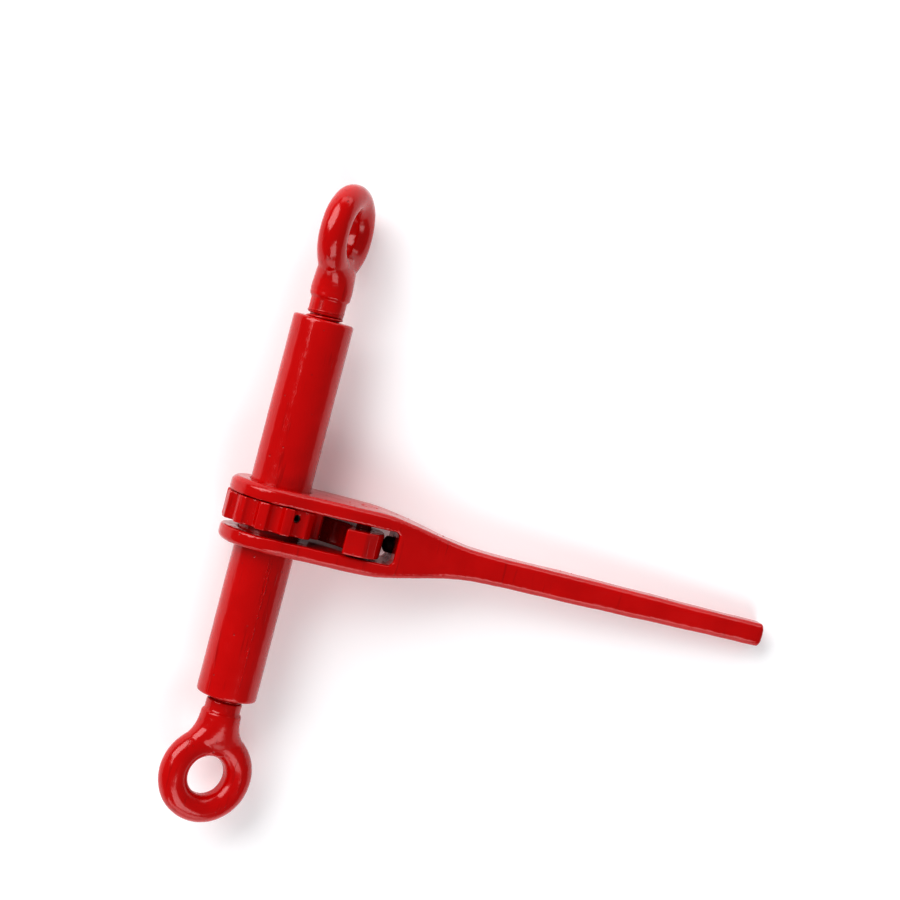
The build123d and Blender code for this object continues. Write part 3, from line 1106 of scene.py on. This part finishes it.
@dataclass
class EyeBolt:
    """One forged eye with its screw.

    Attributes:
        node: the CAD node.
        body: the body it moves with.
        side: +1 for the upper bolt, -1 for the lower.
        left_hand: whether its screw is left hand.
        soft: how the forging softens.
        thread: the screw's form.
        eye_reach: from the end of the bolt's box to where the screw begins.
        inner_plain: plain length with the ring groove at the inner end.
        turn: turn of the eye's flat side from +Z towards +X, in degrees.
        centre_reach: from the end of the bolt's box to the eye's centre.
        shank_radius: radius of the plain shank under the collar.
        shank_end: from the eye's centre to the end of the painted shank.
        flare: distance from the eye's centre, half width and half depth of the neck, in millimetres.
        neck_sides: points round the neck.
        groove: how far the plain end reaches into the ring groove.
        thread_runout: how much shorter the screw is than the space for it.
    """

    node: str
    body: str
    side: float
    left_hand: bool
    soft: Softening = Softening(voxel=0.55 * MM, passes=9, swell=0.16 * MM, swell_length=14 * MM)
    thread: ThreadForm = ThreadForm()
    eye_reach: float = 83.2 * MM
    inner_plain: float = 7.4 * MM
    turn: float = 0.0
    centre_reach: float = 32.2 * MM
    shank_radius: float = 11.8 * MM
    shank_end: float = 51.0 * MM
    flare: tuple[tuple[float, float, float], ...] = (
        (17.0, 25.5, 7.6),
        (20.0, 24.6, 9.3),
        (23.0, 22.2, 10.8),
        (26.0, 18.9, 11.9),
        (29.0, 16.6, 12.6),
        (32.0, 15.0, 13.1),
        (36.0, 13.9, 13.5),
        (39.0, 13.6, 13.6),
    )
    neck_sides: int = 48
    groove: float = 1.5 * MM
    thread_runout: float = 3.0 * MM

    def build(self, axis: Axis, finishes: Finishes) -> None:
        """Makes the eye, the screw and the plain end behind the ring groove.

        Args:
            axis: the barrel's axis.
            finishes: the materials.
        """
        low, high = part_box(self.node)
        outer, inner = (high.y, low.y) if self.side > 0 else (low.y, high.y)
        screw_start = outer - self.side * self.eye_reach
        groove_start = inner + self.side * self.inner_plain
        eye = copy_of(axis.node(self.node), f"{self.node}_eye")
        cut_beyond(eye, screw_start, self.side)
        eye_centre = Vector((axis.x, outer - self.side * self.centre_reach, axis.z))
        weld_in(eye, self._neck(eye_centre))
        self.soft.apply(eye)
        finishes.dress(eye, Finish.ENAMEL)
        tail = copy_of(axis.node(self.node), f"{self.node}_tail")
        cut_beyond(tail, groove_start + self.side * self.groove, -self.side)
        smooth(tail)
        finishes.dress(tail, Finish.ENAMEL)
        screw = self._screw(axis, finishes, screw_start, groove_start)
        for piece in (eye, screw, tail):
            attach(piece, self.body)
            LOG.info("%s: %d faces", piece.name, len(piece.data.polygons))
        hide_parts(self.node)

    def _neck(self, eye_centre: Vector) -> bpy.types.Mesh:
        """The neck that flares into the ring, and the shank below the collar.

        Args:
            eye_centre: centre of the eye.

        Returns:
            A closed mesh that overlaps the ring and the collar.
        """
        angle = math.radians(self.turn)
        across = Vector((math.cos(angle), 0, -math.sin(angle)))
        through = Vector((math.sin(angle), 0, math.cos(angle)))
        stations = [(along * MM, wide * MM, deep * MM) for along, wide, deep in self.flare]
        stations.append((stations[-1][0] + 1.0 * MM, self.shank_radius, self.shank_radius))
        stations.append((self.shank_end, self.shank_radius, self.shank_radius))
        turns = [2 * math.pi * k / self.neck_sides for k in range(self.neck_sides)]
        rings = []
        for along, wide, deep in stations:
            middle = eye_centre - Vector((0, self.side * along, 0))
            rings.append(
                [middle + across * (wide * math.cos(t)) + through * (deep * math.sin(t)) for t in turns]
            )
        return loft(f"{self.node}_neck", rings)

    def _screw(self, axis: Axis, finishes: Finishes, start: float, end: float) -> bpy.types.Object:
        """The screw between the shank and the ring groove.

        Args:
            axis: the barrel's axis.
            finishes: the materials.
            start: Y level where the screw leaves the shank.
            end: Y level of the ring groove.

        Returns:
            The screw, in place.
        """
        length = abs(start - end) - self.thread_runout
        material = finishes.made[Finish.ENAMEL]
        thread = self.thread.shape(f"{self.node}_thread", length, self.left_hand, material)
        piece = thread.run(f"{self.node}_screw")
        towards_barrel = Euler((math.radians(90.0 * self.side), 0, 0)).to_matrix().to_4x4()
        place = Matrix.Translation((axis.x, start, axis.z)) @ towards_barrel
        piece.data.transform(place)
        finishes.dress(piece, Finish.ENAMEL)
        return piece


@dataclass
class Detent:
    """The spring behind the pawl's plunger.

    Attributes:
        turns: turns of the coil.
        wire: radius of its wire.
        stroke: how far the plunger comes towards it, so that the coil is drawn pressed by as much.
    """

    turns: float = 7.0
    wire: float = 0.6 * MM
    stroke: float = 3.4 * MM

    def build(self, axis: Axis, finishes: Finishes) -> None:
        """Makes the coil in the place of the CAD spring.

        Args:
            axis: the barrel's axis.
            finishes: the materials.
        """
        along = axis.handle_direction()
        low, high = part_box("detent_spring")
        middle = (low + high) / 2
        across = (high.y - low.y) / 2
        seat = (high.x - low.x - 2 * across * abs(along.z)) / abs(along.x) / 2
        length = 2 * seat - self.stroke
        shape = NodeShape("detent_coil")
        graph = shape.graph
        turns = shape.size("Turns", self.turns)
        radius = shape.size("Coil radius", across - self.wire)
        wire = shape.size("Wire radius", self.wire)
        reach = shape.size("Length", length)
        coil = graph.node(
            "GeometryNodeCurveSpiral",
            {
                "Resolution": 40,
                "Rotations": turns,
                "Start Radius": radius,
                "End Radius": radius,
                "Height": reach,
            },
        )
        ring = graph.node("GeometryNodeCurvePrimitiveCircle", {"Resolution": 12, "Radius": wire})
        tube = graph.node(
            "GeometryNodeCurveToMesh", {"Curve": coil, "Profile Curve": ring, "Fill Caps": True}
        )
        shape.close(tube, finishes.made[Finish.SPRING_STEEL])
        piece = shape.run("detent_coil")
        turn = Vector((0, 0, 1)).rotation_difference(along).to_matrix().to_4x4()
        piece.data.transform(Matrix.Translation(middle + along * (seat - length)) @ turn)
        finishes.dress(piece, Finish.SPRING_STEEL)
        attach(piece, "handle")
        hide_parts("detent_spring")
        LOG.info("detent coil: %d faces", len(piece.data.polygons))


# ---------------------------------------------------------------- the studio


@dataclass(frozen=True)
class Softbox:
    """One rectangular light that faces the binder.

    Attributes:
        name: the light's name.
        place: where it hangs, from the gear's centre.
        size: its width and height.
        watts: its power.
    """

    name: str
    place: tuple[float, float, float]
    size: tuple[float, float]
    watts: float

    def build(self, target: Vector) -> None:
        """Hangs the light and turns it to a target."""
        data = bpy.data.lights.new(self.name, "AREA")
        data.shape = "RECTANGLE"
        data.size, data.size_y = self.size
        data.energy = self.watts
        lamp = bpy.data.objects.new(self.name, data)
        bpy.context.scene.collection.objects.link(lamp)
        place = Vector(self.place)
        lamp.location = target + place
        lamp.rotation_euler = (-place).to_track_quat("-Z", "Y").to_euler()


@dataclass
class Studio:
    """Floor, lights and camera: a large box at the upper left, a weaker one at the lower right, low
    strips at both sides, and a dim white room.

    Attributes:
        axis: the barrel's axis, which everything is set out from.
        camera_offset: camera's place from the gear's centre.
        aim_offset: point it looks at, from the gear's centre.
        roll: how far the camera is turned about its view, in degrees.
        lens: focal length in millimetres.
        sensor: width of the camera's sensor in millimetres.
        far: how far the camera sees.
        floor_half: half the floor's width.
        room_colour: colour of the room's light.
        room_strength: how strong it is.
        boxes: the lights.
    """

    axis: Axis
    camera_offset: tuple[float, float, float] = (-0.074, 0.157, 1.389)
    aim_offset: tuple[float, float, float] = (0.1011, 0.0686, 0.0)
    roll: float = 14.9
    lens: float = 85.83
    sensor: float = 36.0
    far: float = 50.0
    floor_half: float = 6.0
    room_colour: Colour = (0.97, 0.98, 1.0, 1.0)
    room_strength: float = 0.20
    boxes: tuple[Softbox, ...] = (
        Softbox("key_box", (-1.9, 1.5, 1.9), (2.8, 2.2), 70.0),
        Softbox("fill_box", (0.9, -1.9, 2.0), (2.0, 1.6), 24.0),
        Softbox("upper_strip", (0.4, 2.3, 0.5), (2.6, 0.8), 11.0),
        Softbox("lower_strip", (0.2, -2.3, 0.5), (2.6, 0.8), 9.0),
    )

    def build(self) -> None:
        """Makes the stage, the lights and the camera."""
        self._floor()
        for box in self.boxes:
            box.build(self.axis.gear_centre())
        self._room()
        self._camera()

    def _floor(self) -> None:
        """A plain white sweep that the binder lies on."""
        mesh = bpy.data.meshes.new("sweep")
        half = self.floor_half
        corners = [(-half, -half, 0), (half, -half, 0), (half, half, 0), (-half, half, 0)]
        mesh.from_pydata(corners, [], [(0, 1, 2, 3)])
        sweep = new_object("sweep", mesh)
        mesh.materials.append(StudioFloor().build())

    def _room(self) -> None:
        """The dim light that comes from all round."""
        world = bpy.data.worlds.new("white_room")
        bpy.context.scene.world = world
        world.use_nodes = True
        graph = Graph(world.node_tree)
        graph.tree.nodes.clear()
        light = {"Color": self.room_colour, "Strength": self.room_strength}
        glow = graph.node("ShaderNodeBackground", light)
        graph.add("ShaderNodeOutputWorld", {"Surface": glow})

    def _camera(self) -> None:
        """The camera, over the binder and a little towards its upper eye."""
        data = bpy.data.cameras.new("camera")
        data.lens = self.lens
        data.sensor_width = self.sensor
        data.clip_end = self.far
        camera = bpy.data.objects.new("camera", data)
        bpy.context.scene.collection.objects.link(camera)
        centre = self.axis.gear_centre()
        camera.location = centre + Vector(self.camera_offset)
        view = centre + Vector(self.aim_offset) - camera.location
        back = -view.normalized()
        right = Vector((0, 1, 0)).cross(back).normalized()
        upright = Matrix((right, back.cross(right), back)).transposed()
        camera.rotation_euler = (upright @ Matrix.Rotation(math.radians(self.roll), 3, "Z")).to_euler()
        bpy.context.scene.camera = camera
        display = bpy.context.scene.view_settings
        display.view_transform = "Standard"
        display.look = "High Contrast"


def main() -> None:
    logging.basicConfig(level=logging.INFO, format="%(name)s %(message)s")
    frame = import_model()
    axis = Axis(frame)
    finishes = Finishes()
    Barrel(axis, finishes).build()
    forgings = (
        HandleForging(
            "handle", "handle", "handle_forging", Softening(0.85 * MM, 8, 0.22 * MM, 20 * MM), 70, 3
        ),
        Forging(
            "ratchet_gear", "barrel", "gear_wheel", Softening(0.5 * MM, 6, 0.12 * MM, 9 * MM), 50, 5
        ),
        Forging("pawl", "pawl", "pawl_rocker", Softening(0.45 * MM, 6, 0.14 * MM, 8 * MM), 12, 8),
        Forging("pawl_pin", "handle", "pawl_rivet", Softening(0.4 * MM, 8, 0.12 * MM, 4 * MM)),
    )
    for forging in forgings:
        forging.build(axis, finishes)
    bolts = (
        EyeBolt("upper_eye_bolt", "upper_eye_bolt", 1.0, True, turn=67.0, shank_end=54.4 * MM),
        EyeBolt("lower_eye_bolt", "lower_eye_bolt", -1.0, False, turn=22.0),
    )
    for bolt in bolts:
        bolt.build(axis, finishes)
    Detent().build(axis, finishes)
    # the roll pins are painted red on the real binder; here they get dark steel to paint the shade in
    # the gap round each. The plunger and stop rings are dark steel of their own.
    for name in ("gear_roll_pins", "detent_plunger", "upper_stop_ring", "lower_stop_ring"):
        finishes.dress_node(axis.node(name), Finish.SPRING_STEEL)
        LOG.info("%s keeps its CAD form", name)
    Studio(axis).build()


if __name__ == "__main__":
    main()
